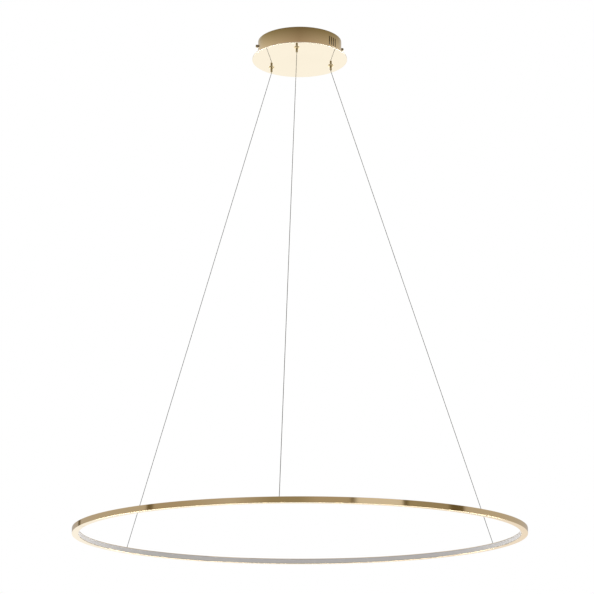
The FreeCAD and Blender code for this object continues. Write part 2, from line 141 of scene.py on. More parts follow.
def studio_band(tree, turn, stops):
    """A colour that depends on the compass direction: each stop is an azimuth in degrees, and the
    ramp's position is (azimuth + 180) / 360."""
    ramp = tree.nodes.new("ShaderNodeValToRGB")
    ends = ramp.color_ramp.elements
    ends[0].color = (*stops[0][1], 1)
    ends[1].color = (*stops[-1][1], 1)
    for azimuth, colour in stops[1:-1]:
        ramp.color_ramp.elements.new((azimuth + 180) / 360).color = (*colour, 1)
    tree.links.new(turn, ramp.inputs["Fac"])
    return ramp.outputs["Color"]


def white_room():
    """The world: white where the camera looks at it, and the studio in every other ray. Each band of the
    studio takes over from the one below between two heights of a ray's direction."""
    world = bpy.data.worlds.new("studio")
    world.use_nodes = True
    tree = world.node_tree
    tree.nodes.clear()
    x, y, z = added(tree, "SeparateXYZ", {"Vector": added(tree, "TexCoord")["Generated"]})
    azimuth = reckoned(tree, "ARCTAN2", x, reckoned(tree, "MULTIPLY", y, -1))
    turn = ranged(tree, azimuth, -math.pi, math.pi)
    room = studio_band(tree, turn, LOW_LAMPS)
    for low, high, stops in STUDIO:
        room = blended(tree, ranged(tree, z, low, high), room, studio_band(tree, turn, stops))
    seen = blended(tree, added(tree, "LightPath")["Is Camera Ray"], room, (*WHITE, 1))
    background = added(tree, "Background", {"Color": seen})["Background"]
    added(tree, "OutputWorld", {"Surface": background})
    return world


scene.world = white_room()


# ---- floor ----
# A pale round floor well below the light, made of paint on a flat disc. It is never in the photograph's
# view, and its rim fades into the white of the room.

FLOOR_LEVEL = -2.7
FLOOR_RADIUS = 3.2
FLOOR_FADE = (0.35 * FLOOR_RADIUS, 0.95 * FLOOR_RADIUS)
FLOOR_LIFT = 0.6
FLOOR_RINGS = 24
STAGE_SIDES = 96


def around(radius, azimuth, level):
    """Points about the light's axis: x = r sin a, y = -r cos a, so azimuth 0 faces the photographer."""
    a = np.radians(azimuth)
    return np.stack(np.broadcast_arrays(radius * np.sin(a), -radius * np.cos(a), level), axis=-1)


def swept(outline, azimuths):
    """An outline of (radius, height) carried round the axis through the given azimuths."""
    return around(outline[:, 0], np.asarray(azimuths)[:, None], outline[:, 1])


def mesh_of(name, grids, crease=35):
    """One mesh from grids of points: each grid's neighbours make quads, points that coincide to 0.1 micron
    become one, faces that collapse are left out, and the shell is turned to face outward. Its normals lean
    to the larger faces, so that a rounded edge doesn't shade the flat beside it."""
    points = np.concatenate([g.reshape(-1, 3) for g in grids])
    quads = []
    offset = 0
    for grid in grids:
        rows, columns = grid.shape[:2]
        corner = (np.arange(rows - 1)[:, None] * columns + np.arange(columns - 1)[None, :]).ravel() + offset
        quads.append(np.stack([corner, corner + 1, corner + columns + 1, corner + columns], axis=1))
        offset += rows * columns
    _, first, index = np.unique(np.round(points * 1e7).astype(np.int64), axis=0, return_index=True,
                                return_inverse=True)
    faces = index.ravel()[np.concatenate(quads)]
    faces = [tuple(dict.fromkeys(face)) for face in faces.tolist()]
    mesh = bpy.data.meshes.new(name)
    mesh.from_pydata(points[first].tolist(), [], [face for face in faces if len(face) > 2])
    shell = bmesh.new()
    shell.from_mesh(mesh)
    bmesh.ops.recalc_face_normals(shell, faces=shell.faces)
    shell.to_mesh(mesh)
    shell.free()
    mesh.shade_smooth()
    mesh.set_sharp_from_angle(angle=math.radians(crease))
    piece = bpy.data.objects.new(name, mesh)
    piece.modifiers.new("flat faces stay flat", "WEIGHTED_NORMAL").keep_sharp = True
    scene.collection.objects.link(piece)
    return piece


def new_material(name):
    """A material with its node tree."""
    material = bpy.data.materials.new(name)
    material.use_nodes = True
    return material, material.node_tree


def layered(tree, factor, under, over):
    """A surface between two."""
    return added(tree, "MixShader", {0: factor, 1: under, 2: over})["Shader"]


def floor_paint():
    """Pale floor paint with a faint grain. For the camera it is lifted toward the room's white, and at the
    rim it fades into it. From below the floor is clear, so that the light can be seen from there."""
    material, tree = new_material("floor_paint")
    tree.nodes.clear()
    place = added(tree, "TexCoord")["Object"]
    grain = added(tree, "TexNoise", {"Vector": place, "Scale": 3})["Fac"]
    paint = added(tree, "BsdfDiffuse", {"Color": ranged(tree, grain, 0, 1, 0.86, 0.90)})["BSDF"]
    centred = added(tree, "Mapping", {"Vector": place, "Location": (0, 0, -FLOOR_LEVEL)})["Vector"]
    reach = added(tree, "VectorMath", {0: centred}, operation="LENGTH")["Value"]
    rim = ranged(tree, reach, *FLOOR_FADE, FLOOR_LIFT, interpolation_type="SMOOTHSTEP")
    seen = reckoned(tree, "MULTIPLY", rim, added(tree, "LightPath")["Is Camera Ray"])
    lifted = layered(tree, seen, paint, added(tree, "Emission")["Emission"])
    clear = added(tree, "BsdfTransparent")["BSDF"]
    surface = layered(tree, added(tree, "NewGeometry")["Backfacing"], lifted, clear)
    added(tree, "OutputMaterial", {"Surface": surface})
    return material


floor_line = np.array([(r, FLOOR_LEVEL) for r in np.linspace(0, FLOOR_RADIUS, FLOOR_RINGS)])
floor = mesh_of("floor", [swept(floor_line, np.linspace(0, 360, STAGE_SIDES + 1))])
floor.data.flip_normals()  # an open disc has no outside, and this one faces up
floor.data.materials.append(floor_paint())
floor.visible_diffuse = floor.visible_glossy = floor.visible_shadow = False


# ---- hanging wires ----
# Three steel wires of six strands laid round a seventh, 1.2 mm thick and 1.06 m long, carry the ring. Each
# is clamped by its gripper under the canopy and runs straight to the nipple soldered on its end.

WIRE_AZIMUTHS = {"front": -4.8, "right": 115.2, "left": -124.8}
WIRE_RADIUS = 0.0006
WIRE_ROUTE = ((0.073, -0.0505), (0.073, -0.052555), (0.445111, -1.040583))
WIRE_STRANDS = 6
WIRE_LAY = 0.012
WIRE_SIDES = 18
WIRE_STEP = 0.0015


def laid_out(azimuth):
    """Unit vectors outward and sideways at an azimuth: outward is (sin a, -cos a)."""
    a = math.radians(azimuth)
    return np.array([math.sin(a), -math.cos(a), 0]), np.array([math.cos(a), math.sin(a), 0])


def line_of(points):
    """Points along the NURBS spline of order 3 that a route's points control."""
    curve = bpy.data.curves.new("route", "CURVE")
    curve.dimensions = "3D"
    curve.resolution_u = 24
    spline = curve.splines.new("NURBS")
    spline.points.add(len(points) - 1)
    for control, point in zip(spline.points, points):
        control.co = (*point, 1)
    spline.order_u = 3
    spline.use_endpoint_u = True
    guide = bpy.data.objects.new("route", curve)
    read = bpy.data.meshes.new_from_object(guide)
    line = np.empty(len(read.vertices) * 3)
    read.vertices.foreach_get("co", line)
    bpy.data.meshes.remove(read)
    bpy.data.objects.remove(guide)
    bpy.data.curves.remove(curve)
    return line.reshape(-1, 3)


def evenly(line, step):
    """The same line with its points an even step apart along it, and how far along each one is."""
    run = np.concatenate([[0], np.cumsum(np.linalg.norm(np.diff(line, axis=0), axis=1))])
    along = np.linspace(0, run[-1], int(run[-1] / step) + 1)
    return np.stack([np.interp(along, run, line[:, i]) for i in range(3)], axis=1), along


def stranded(line, along, sideways, radius, strands, lay, sides):
    """A rope round a line: at a distance s its radius at the angle a is R (0.86 + 0.14 |cos(n/2 (a - 2 pi
    s / lay))|), so that n grooves wind round it once in each lay. Both ends close on the line."""
    ahead = np.gradient(line, axis=0)
    ahead /= np.linalg.norm(ahead, axis=1, keepdims=True)
    across = np.cross(sideways, ahead)
    a = np.linspace(0, 2 * np.pi, sides + 1)[None, :]
    twist = a - 2 * np.pi * along[:, None] / lay
    reach = radius * (0.86 + 0.14 * np.abs(np.cos(strands / 2 * twist)))
    ring = reach[..., None] * (np.cos(a)[..., None] * across[:, None] + np.sin(a)[..., None] * sideways)
    rope = line[:, None] + ring
    start = np.repeat(line[:1, None], sides + 1, axis=1)
    end = np.repeat(line[-1:, None], sides + 1, axis=1)
    return np.concatenate([start, rope, end])


def hanging_wire(name, azimuth):
    """One wire on its route, which gets a point 6 diameters past the mouth because it leaves it straight."""
    outward, sideways = laid_out(azimuth)
    route = [r * outward + [0, 0, z] for r, z in WIRE_ROUTE]
    run = route[2] - route[1]
    route.insert(2, route[1] + run / np.linalg.norm(run) * 12 * WIRE_RADIUS)
    line, along = evenly(line_of(route), WIRE_STEP)
    rope = stranded(line, along, sideways, WIRE_RADIUS, WIRE_STRANDS, WIRE_LAY, WIRE_SIDES)
    return mesh_of(f"rope_{name}", [rope], crease=60), route[0], line


def new_group(name, taken, made):
    """A node group whose sockets are named with their kinds, what it takes first and what it makes last."""
    group = bpy.data.node_groups.new(name, "ShaderNodeTree")
    for way, sockets in (("INPUT", taken), ("OUTPUT", made)):
        for socket, kind in sockets.items():
            group.interface.new_socket(socket, in_out=way, socket_type=f"NodeSocket{kind}")
    return group, group.nodes.new("NodeGroupInput").outputs, group.nodes.new("NodeGroupOutput").inputs


def grain_group():
    """Node group for a metal's fine variation. Noise at two sizes moves the colour toward a second one and
    the roughness by a spread, and gives a height for the bump."""
    group, given, made = new_group(
        "metal_grain",
        {"Vector": "Vector", "Colour": "Color", "Worn colour": "Color", "Roughness": "Float",
         "Spread": "Float", "Fine": "Float", "Broad": "Float"},
        {"Colour": "Color", "Roughness": "Float", "Height": "Float"},
    )
    fine = added(group, "TexNoise", {"Vector": given["Vector"], "Scale": given["Fine"], "Detail": 3})["Fac"]
    broad = added(group, "TexNoise", {"Vector": given["Vector"], "Scale": given["Broad"], "Detail": 4})["Fac"]
    tint = blended(group, ranged(group, broad, 0.45, 0.75), given["Colour"], given["Worn colour"])
    off_centre = reckoned(group, "SUBTRACT", fine, 0.5)
    rougher = reckoned(group, "MULTIPLY_ADD", off_centre, given["Spread"], given["Roughness"])
    for socket, value in (("Colour", tint), ("Roughness", rougher), ("Height", fine)):
        group.links.new(value, made[socket])
    return group


METAL_GRAIN = grain_group()


def finished(tree, colour, roughness, height, bump):
    """Links a colour and a roughness that change over a surface to its shader, and the height of a bump."""
    shader = tree.nodes["Principled BSDF"]
    dents = added(tree, "Bump", {"Height": height, "Strength": bump, "Distance": 0.0001})["Normal"]
    for socket, value in (("Base Color", colour), ("Roughness", roughness), ("Normal", dents)):
        tree.links.new(value, shader.inputs[socket])
    return shader


def metal(name, colour, worn, roughness, spread, fine, broad, bump):
    """A metal finish on Object coordinates: the grain group drives colour, roughness and a slight bump."""
    material, tree = new_material(name)
    place = added(tree, "Mapping", {"Vector": added(tree, "TexCoord")["Object"]}, name="place")["Vector"]
    values = {"Vector": place, "Colour": (*colour, 1), "Worn colour": (*worn, 1), "Roughness": roughness,
              "Spread": spread, "Fine": fine, "Broad": broad}
    grain = added(tree, "Group", values, node_tree=METAL_GRAIN, name="grain")
    shader = finished(tree, grain["Colour"], grain["Roughness"], grain["Height"], bump)
    shader.inputs["Metallic"].default_value = 1
    return material


wire_steel = metal("wire_steel", (0.17, 0.17, 0.165), (0.11, 0.11, 0.105),
                   roughness=0.38, spread=0.2, fine=900, broad=60, bump=0.3)
for side, azimuth in WIRE_AZIMUTHS.items():
    rope, mouth, line = hanging_wire(side, azimuth)
    rope.data.materials.append(wire_steel)
    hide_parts(f"wire_{side}")
    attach(rope, "canopy")
    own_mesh(rope)


# ---- ring ----
# A channel of pale-gold anodised aluminium, 13 mm wide and 11 mm high, rolled to a ring of 900 mm and
# closed by one butt joint. It is open to the inside, and each wire drops in through a slot in its top.

ring_low, ring_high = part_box("ring_channel")
RING_RADIUS = ring_high[0]
RING_BOTTOM, RING_TOP = ring_low[2], ring_high[2]
RING_WIDTH = 0.013
RING_WALL = 0.001
RING_REBATE = 0.0005
RING_EDGE = 0.00035
RING_PANEL = 0.003
BUTT_AZIMUTH = -70
BUTT_GAP = 0.0003
SLOT_WIDTH = 0.0024
wire_bend, wire_end = WIRE_ROUTE[1:]
WIRE_CROSSING = np.interp(RING_TOP, (wire_end[1], wire_bend[1]), (wire_end[0], wire_bend[0]))
SLOT_INNER, SLOT_OUTER = WIRE_CROSSING - 0.0028, WIRE_CROSSING + 0.0013
SLOT_CELL = 0.5
SLOT_RAYS = 4
RING_STEP = 0.3
ARC_POINTS = 5


def rounded(corners, radii):
    """A closed outline of straight runs and arcs: at each corner an arc of its radius touches both runs,
    centred on the corner's bisector at radius / sin(half the corner's angle)."""
    corners = np.array(corners, float)
    outline = []
    for before, corner, after, radius in zip(np.roll(corners, 1, 0), corners, np.roll(corners, -1, 0), radii):
        if radius == 0:
            outline.append(corner[None])
            continue
        back = (before - corner) / np.linalg.norm(before - corner)
        on = (after - corner) / np.linalg.norm(after - corner)
        half = np.arccos(back @ on) / 2
        bisector = (back + on) / np.linalg.norm(back + on)
        centre = corner + bisector * radius / np.sin(half)
        first = corner + back * radius / np.tan(half) - centre
        last = corner + on * radius / np.tan(half) - centre
        t = np.linspace(0, 1, ARC_POINTS)[:, None]
        sweep = np.arccos(np.clip(first @ last / radius**2, -1, 1))
        outline.append(centre + (np.sin((1 - t) * sweep) * first + np.sin(t * sweep) * last) / np.sin(sweep))
    outline = np.concatenate(outline)
    return np.concatenate([outline, outline[:1]])


def round_slot(across, low, high, centre, length, width):
    """Between a rectangle's border and an upright slot in it. Rays from the slot's centre go to each border
    point and to places between them. A ray (c, s) meets the slot at r / |c| on its straight side, and at
    h |s| + sqrt(r r - h h c c) on its round end, h being half the straight part."""
    foot = np.stack([across, np.full_like(across, low)], axis=1)
    head = np.stack([across[::-1], np.full_like(across, high)], axis=1)
    border = np.concatenate([foot, head])
    count = len(border)
    angle = np.unwrap(np.arctan2(border[:, 1] - centre, border[:, 0]))
    place = np.arange(count * SLOT_RAYS + 1) / SLOT_RAYS
    ray = np.interp(place, np.arange(count + 1), np.append(angle, angle[0] + 2 * np.pi))
    c, s = np.abs(np.cos(ray)), np.abs(np.sin(ray))
    r, h = width / 2, (length - width) / 2
    side = r / np.maximum(c, 1e-9)
    end = h * s + np.sqrt(np.maximum(r * r - (h * c) ** 2, 0))
    reach = np.where(side * s <= h, side, end)
    slot = np.stack([reach * np.cos(ray), centre + reach * np.sin(ray)], axis=1)
    return slot, border[np.rint(place).astype(int) % count]


def ring_mesh():
    """The channel's section, with 0.35 mm rounded edges, swept from one end of the butt joint to the
    other. Round each wire slot its top wall is two faces ruled to the slot, with the slot's wall between.
    Each end is closed by faces from the section's four arcs to its eight sharp corners."""
    inner, back = RING_RADIUS - RING_WIDTH, RING_RADIUS - RING_WALL
    rebate = inner + RING_PANEL
    low, high = RING_BOTTOM + RING_WALL, RING_TOP - RING_WALL
    corners = [(inner, RING_BOTTOM), (RING_RADIUS, RING_BOTTOM), (RING_RADIUS, RING_TOP), (inner, RING_TOP),
               (inner, high), (rebate, high), (rebate, high - RING_REBATE), (back, high - RING_REBATE),
               (back, low + RING_REBATE), (rebate, low + RING_REBATE), (rebate, low), (inner, low)]
    outline = rounded(corners, [RING_EDGE] * 4 + [0] * 8)
    foot_in, foot_out, top_out, top_in = np.arange(4 * ARC_POINTS).reshape(4, ARC_POINTS)
    sharp = 4 * ARC_POINTS + np.arange(8)
    half_gap = math.degrees(BUTT_GAP / 2 / RING_RADIUS)
    ends = BUTT_AZIMUTH + half_gap, BUTT_AZIMUTH + 360 - half_gap
    cells = sorted((a - BUTT_AZIMUTH) % 360 + BUTT_AZIMUTH for a in WIRE_AZIMUTHS.values())
    marks = [ends[0]] + [a + way * SLOT_CELL for a in cells for way in (-1, 1)] + [ends[1]]
    grids = []
    for start, stop in zip(marks[::2], marks[1::2]):
        grids.append(swept(outline, np.linspace(start, stop, int((stop - start) / RING_STEP) + 2)))
    lip = outline[top_in[0]:sharp[3]]
    rest = np.concatenate([outline[sharp[3]:], outline[1:top_in[0]]])
    top_walls = ((lip[0, 0], rest[-1, 0], RING_TOP), (rebate, back, high - RING_REBATE))
    across = np.linspace(-SLOT_CELL, SLOT_CELL, 5)
    for azimuth in cells:
        grids += [swept(lip, azimuth + across), swept(rest, azimuth + across)]
        rims = []
        for near, far, level in top_walls:
            pair = round_slot(np.radians(across) * RING_RADIUS, near, far, (SLOT_INNER + SLOT_OUTER) / 2,
                              SLOT_OUTER - SLOT_INNER, SLOT_WIDTH)
            rows = [around(v, azimuth + np.degrees(u / RING_RADIUS), level) for u, v in (p.T for p in pair)]
            grids.append(np.stack(rows))
            rims.append(rows[0])
        grids.append(np.stack(rims))
    outer = np.concatenate([foot_in, foot_in[[-1, -1]], foot_out, top_out, top_in[[0, 0]], top_in])
    facing = np.repeat(sharp[::-1], [ARC_POINTS, 1, 1, ARC_POINTS, ARC_POINTS, 1, 1, ARC_POINTS])
    for end in ends:
        section = swept(outline, [end])[0]
        grids.append(np.stack([section[outer], section[facing]]))
    return mesh_of("ring_shell", grids)


def polar_group():
    """Node group that turns a place into distances along, from and up the light's axis, so that a pattern
    can run round it: (azimuth x stretch, radius, height). The azimuth's jump lies at the mapping's -X."""
    group, given, made = new_group("round_the_axis", {"Vector": "Vector", "Stretch": "Float"},
                                   {"Vector": "Vector"})
    x, y, z = added(group, "SeparateXYZ", {"Vector": given["Vector"]})
    along = reckoned(group, "MULTIPLY", reckoned(group, "ARCTAN2", y, x), given["Stretch"])
    plan = added(group, "CombineXYZ", {"X": x, "Y": y})["Vector"]
    radius = added(group, "VectorMath", {0: plan}, operation="LENGTH")["Value"]
    place = added(group, "CombineXYZ", {"X": along, "Y": radius, "Z": z})["Vector"]
    group.links.new(place, made["Vector"])
    return group


ROUND_THE_AXIS = polar_group()
GRAIN_STRETCH = 0.02


def round_grained(material, jump):
    """Makes a metal's grain run round the light's axis, with its jump at an azimuth where it is hidden."""
    tree = material.node_tree
    place = tree.nodes["place"]
    place.inputs["Rotation"].default_value = (0, 0, math.radians(-90 - jump))
    sockets = {"Vector": place.outputs["Vector"], "Stretch": GRAIN_STRETCH}
    polar = added(tree, "Group", sockets, node_tree=ROUND_THE_AXIS)["Vector"]
    tree.links.new(polar, tree.nodes["grain"].inputs["Vector"])
    return material


def painted_over(material, mask, colour):
    """Lays a second colour over a metal's own, where the mask is 1."""
    base = material.node_tree.nodes["Principled BSDF"].inputs["Base Color"]
    both = blended(material.node_tree, mask, base.links[0].from_socket, (*colour, 1))
    material.node_tree.links.new(both, base)
    return material


def stained(material, azimuth, half_width, stain):
    """Darkens the metal at one azimuth of the ring, where its ends meet: the distance from the vertical
    plane through the axis there, in metres, picks between the stain and the metal."""
    tree = material.node_tree
    place = added(tree, "TexCoord")["Object"]
    outward, sideways = [added(tree, "VectorMath", {0: place, 1: way}, operation="DOT_PRODUCT")["Value"]
                         for way in laid_out(azimuth)]
    near = ranged(tree, reckoned(tree, "ABSOLUTE", sideways), half_width, 0.4 * half_width)
    this_side = reckoned(tree, "GREATER_THAN", outward, 0)
    return painted_over(material, reckoned(tree, "MULTIPLY", near, this_side), stain)


def dressed(piece, material, body, node):
    """Gives a new piece its material and body, and has it stand for a CAD node."""
    piece.data.materials.append(material)
    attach(piece, body)
    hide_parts(node)


GOLD, WORN_GOLD, BUTT_STAIN = (0.93, 0.76, 0.47), (0.90, 0.72, 0.43), (0.20, 0.13, 0.05)
ring_gold = metal("ring_gold", GOLD, WORN_GOLD, roughness=0.08, spread=0.04, fine=1400, broad=8, bump=0.03)
ring_gold = stained(round_grained(ring_gold, BUTT_AZIMUTH), BUTT_AZIMUTH, half_width=0.002, stain=BUTT_STAIN)
dressed(ring_mesh(), ring_gold, "ring", "ring_channel")


# ---- diffuser ----
# An opal acrylic strip, 9 mm high and 3 mm thick, pressed into the channel's open side all the way round.
# Its face is flush with the channel's lips and slightly crowned at both edges.

PANEL_FIT = 0.00002
PANEL_EDGE = 0.00025
PANEL_STEPS = 1200


def diffuser_mesh():
    """The strip's section, two of its corners rounded, swept between the ends of the butt joint. Each end
    is closed by faces from its outline to its middle."""
    inner = RING_RADIUS - RING_WIDTH
    outer = inner + RING_PANEL - PANEL_FIT
    low, high = RING_BOTTOM + RING_WALL, RING_TOP - RING_WALL
    corners = [(inner, low), (outer, low), (outer, high), (inner, high)]
    outline = rounded(corners, [PANEL_EDGE, 0, 0, PANEL_EDGE])
    half_gap = math.degrees(BUTT_GAP / 2 / RING_RADIUS)
    turn = np.linspace(BUTT_AZIMUTH + half_gap, BUTT_AZIMUTH + 360 - half_gap, PANEL_STEPS + 1)
    strip = swept(outline, turn)
    middle = np.repeat([[(inner + outer) / 2, (low + high) / 2]], len(outline), axis=0)
    caps = [np.stack([strip[i], swept(middle, [turn[i]])[0]]) for i in (0, -1)]
    return mesh_of("diffuser_strip", [strip] + caps)


def plastic(name, colour, roughness, mottle, size, bump):
    """A moulded plastic on Object coordinates: noise mottles its colour and roughness and dimples it."""
    material, tree = new_material(name)
    place = added(tree, "TexCoord")["Object"]
    noise = added(tree, "TexNoise", {"Vector": place, "Scale": size, "Detail": 3})["Fac"]
    tint = blended(tree, noise, (*[c * (1 - mottle) for c in colour], 1), (*colour, 1))
    finished(tree, tint, ranged(tree, noise, 0, 1, roughness - 0.05, roughness + 0.05), noise, bump)
    return material


opal = plastic("opal_acrylic", (0.86, 0.86, 0.855), roughness=0.3, mottle=0.02, size=300, bump=0.05)
dressed(diffuser_mesh(), opal, "ring", "ring_diffuser")


# ---- LED strip and joint bars ----
# Behind the diffuser a white flexible circuit with yellow-coated LEDs runs round the channel. At the butt
# joint two zinc-plated steel bars bridge the walls, jacked apart by their set screws.

circuit_white = plastic("circuit_white", (0.88, 0.88, 0.86), roughness=0.45, mottle=0.04, size=500, bump=0.05)
phosphor = plastic("phosphor", (0.93, 0.83, 0.42), roughness=0.25, mottle=0.08, size=900, bump=0.05)
zinc = metal("zinc_plate", (0.66, 0.67, 0.68), (0.56, 0.57, 0.59),
             roughness=0.34, spread=0.25, fine=700, broad=90, bump=0.15)


def painted(material, *names):
    """Gives CAD nodes a material in place of their own."""
    for name in names:
        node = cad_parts[name]
        node.data.materials.clear()
        node.data.materials.append(material)


painted(circuit_white, "led_strip")
painted(phosphor, "led_chips")
painted(zinc, "splice_bar_upper", "splice_bar_lower")


# ---- wire ends in the ring ----
# Under the ring's top wall each wire's steel nipple hooks up into a forked steel bar, which spreads its
# pull over the channel.

fitting_steel = metal("fitting_steel", (0.58, 0.58, 0.57), (0.48, 0.48, 0.47),
                      roughness=0.3, spread=0.2, fine=800, broad=90, bump=0.15)
painted(fitting_steel, *[f"wire_{kind}_{side}" for side in WIRE_AZIMUTHS for kind in ("nipple", "saddle")])


# ---- canopy drum ----
# A drum of the same pale-gold metal, 176 mm across and 38 mm high, with painted shade toward the ceiling
# and on its inside, is screwed to the bracket from both sides. It has four vent slots, and three tabs on the
# plate's studs.

drum_low, drum_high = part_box("canopy_drum")
DRUM_RADIUS = drum_high[0]
DRUM_FOOT, DRUM_TOP = drum_low[2], drum_high[2]
DRUM_WALL = 0.001
DRUM_EDGE = 0.0003
VENT_AZIMUTHS = (45.0, 49.2, 53.4, 57.6)
VENT_WIDTH, VENT_HEIGHT, VENT_TOP = 0.003, 0.019, -0.010
VENT_CELL = 2.1
SCREW_AZIMUTHS = {"right": 96.0, "left": 276.0}
SCREW_LEVEL = -0.012
SCREW_HOLE = 0.0036
TAB_AZIMUTHS = (55.2, 175.2, 295.2)
TAB_CENTRE = 0.0805
TAB_SIZE = (0.0135, 0.014)
TAB_HOLE = 0.0018
TAB_SIDES = 40


def drum_mesh():
    """The wall is a narrow section with rounded rims swept round. Each slot and each screw hole has a cell
    of its own, where the two faces of the wall are ruled to the opening and its own wall joins them. Cells
    that touch, to a hundredth of a degree, have no wall between them."""
    inner = DRUM_RADIUS - DRUM_WALL
    corners = [(inner, DRUM_FOOT), (DRUM_RADIUS, DRUM_FOOT), (DRUM_RADIUS, DRUM_TOP), (inner, DRUM_TOP)]
    outline = rounded(corners, [DRUM_EDGE] * 4)
    foot_rim, top_rim = outline[:2 * ARC_POINTS], outline[2 * ARC_POINTS:-1]
    openings = [(a, VENT_CELL, VENT_TOP - VENT_HEIGHT / 2, VENT_HEIGHT, VENT_WIDTH) for a in VENT_AZIMUTHS]
    openings += [(a, 2 * VENT_CELL, SCREW_LEVEL, SCREW_HOLE, SCREW_HOLE) for a in SCREW_AZIMUTHS.values()]
    openings.sort()
    grids = []
    start = openings[-1][0] + openings[-1][1] - 360
    for azimuth, half, centre, length, width in openings:
        if azimuth - half > start + 0.01:
            wall = np.linspace(start, azimuth - half, int(azimuth - half - start) + 2)
            grids.append(swept(outline, wall))
        start = azimuth + half
        across = np.linspace(-half, half, 9)
        grids += [swept(foot_rim, azimuth + across), swept(top_rim, azimuth + across)]
        pair = round_slot(np.radians(across) * DRUM_RADIUS, foot_rim[-1, 1], top_rim[0, 1], centre, length,
                          width)
        rims = []
        for radius in (DRUM_RADIUS, inner):
            rows = [around(radius, azimuth + np.degrees(u / DRUM_RADIUS), v) for u, v in (p.T for p in pair)]
            rims.append(rows[0])
            grids.append(np.stack(rows))
        grids.append(np.stack(rims))
    grids += [carried(drum_tab(), azimuth, TAB_CENTRE) for azimuth in TAB_AZIMUTHS]
    return mesh_of("drum_shell", grids)


def loop(rows, angles):
    """Rows of (reach, level) round an upright axis: (reach cos a, reach sin a, level), where a reach is
    one length or one for each angle."""
    reach = np.stack([np.broadcast_to(r, angles.shape) for r, _ in rows])
    level = np.stack([np.broadcast_to(z, angles.shape) for _, z in rows])
    return np.stack([reach * np.cos(angles), reach * np.sin(angles), level], axis=-1)


def carried(grid, azimuth, radius):
    """Carries points made upright at the origin, x outward, to a radius and an azimuth."""
    outward, sideways = laid_out(azimuth)
    x, y, z = np.moveaxis(grid, -1, 0)[..., None]
    return (radius + x) * outward + y * sideways + z * [0, 0, 1]


def drum_tab():
    """A flat tab with a hole: a rectangle reaches min(w / |cos a|, d / |sin a|) from its middle. The loop
    goes from the hole over one face, round the edge and back over the other face."""
    half_w, half_d = TAB_SIZE[0] / 2, TAB_SIZE[1] / 2
    corner = math.atan2(half_d, half_w)
    corners = [corner, np.pi - corner, np.pi + corner, 2 * np.pi - corner]
    angles = np.unique(np.concatenate([np.linspace(0, 2 * np.pi, TAB_SIDES + 1), corners]))
    cos, sin = np.abs(np.cos(angles)), np.abs(np.sin(angles))
    reach = np.minimum(half_w / np.maximum(cos, 1e-9), half_d / np.maximum(sin, 1e-9))
    top = DRUM_FOOT + DRUM_WALL
    return loop([(TAB_HOLE, DRUM_FOOT), (reach, DRUM_FOOT), (reach, top), (TAB_HOLE, top),
                 (TAB_HOLE, DRUM_FOOT)], angles)


def tinted(material, along, start, stop, colour):
    """Moves a round-grained metal toward a second colour between two radii, along Y of the grain's
    vector, or between two heights, along Z."""
    tree = material.node_tree
    place = tree.nodes["grain"].inputs["Vector"].links[0].from_socket
    reach = added(tree, "SeparateXYZ", {"Vector": place})[along]
    return painted_over(material, ranged(tree, reach, start, stop), colour)


DRUM_SHADOW, DRUM_INSIDE_SHADE = (0.37, 0.29, 0.12), (0.10, 0.075, 0.04)
DRUM_SKIN = DRUM_RADIUS - 0.1 * DRUM_WALL, DRUM_RADIUS - 0.3 * DRUM_WALL
drum_gold = metal("drum_gold", GOLD, WORN_GOLD, roughness=0.13, spread=0.06, fine=1400, broad=20, bump=0.04)
# Painted shade: from its foot to its top the drum's colour moves toward DRUM_SHADOW, as the ceiling shades
# it.
drum_gold = tinted(round_grained(drum_gold, 0), "Z", DRUM_FOOT, DRUM_TOP, DRUM_SHADOW)
# Painted shade: inward of the wall's outer skin, on the slot walls and the inside face, the metal turns dark
# brown for the shade inside the canopy.
drum_gold = tinted(drum_gold, "Y", *DRUM_SKIN, DRUM_INSIDE_SHADE)
dressed(drum_mesh(), drum_gold, "canopy", "canopy_drum")


# ---- canopy plate ----
# A disc of polished metal, 200 mm across and 2 mm thick, that closes the drum from below and stands out
# round it. Five threaded studs welded on its top take the drum's tabs and the driver's feet.

plate_low, plate_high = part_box("canopy_plate")
PLATE_RADIUS = plate_high[0]
PLATE_BOTTOM, PLATE_TOP = plate_low[2], drum_low[2]
PLATE_EDGE = 0.0003
PLATE_SIDES = 360
STUD_RADIUS = 0.0015
STUD_TOP = plate_high[2]
FOOT_AZIMUTHS = (186.0, 6.0)
FOOT_CENTRE = 0.0535
STUD_PLACES = [(a, TAB_CENTRE) for a in TAB_AZIMUTHS] + [(a, FOOT_CENTRE) for a in FOOT_AZIMUTHS]
THREAD_PITCH = 0.0005
THREAD_DEPTH = 0.00025
ONCE_ROUND = np.linspace(0, 2 * np.pi, 49)


def thread(radius, depth, pitch, low, high):
    """Rows of a screw thread: at the level z and the angle a its radius is R - d |2 f - 1|, where f is the
    fraction of z / p - a / 2 pi."""
    levels = np.arange(low, high, pitch / 6)
    waves = [(z / pitch - ONCE_ROUND / (2 * np.pi)) % 1 for z in levels]
    return [(radius - depth * np.abs(2 * wave - 1), z) for wave, z in zip(waves, levels)]


def plate_mesh():
    """A disc with rounded rims, and the studs standing on it, each threaded to its flat end."""
    corners = [(0, PLATE_BOTTOM), (PLATE_RADIUS, PLATE_BOTTOM), (PLATE_RADIUS, PLATE_TOP), (0, PLATE_TOP)]
    outline = rounded(corners, [0, PLATE_EDGE, PLATE_EDGE, 0])[:-1]
    grids = [swept(outline, np.linspace(0, 360, PLATE_SIDES + 1))]
    rows = [(0, PLATE_TOP)] + thread(STUD_RADIUS, THREAD_DEPTH, THREAD_PITCH, PLATE_TOP, STUD_TOP)
    stud = loop(rows + [(0, rows[-1][1])], ONCE_ROUND)
    grids += [carried(stud, azimuth, radius) for azimuth, radius in STUD_PLACES]
    return mesh_of("plate_disc", grids)


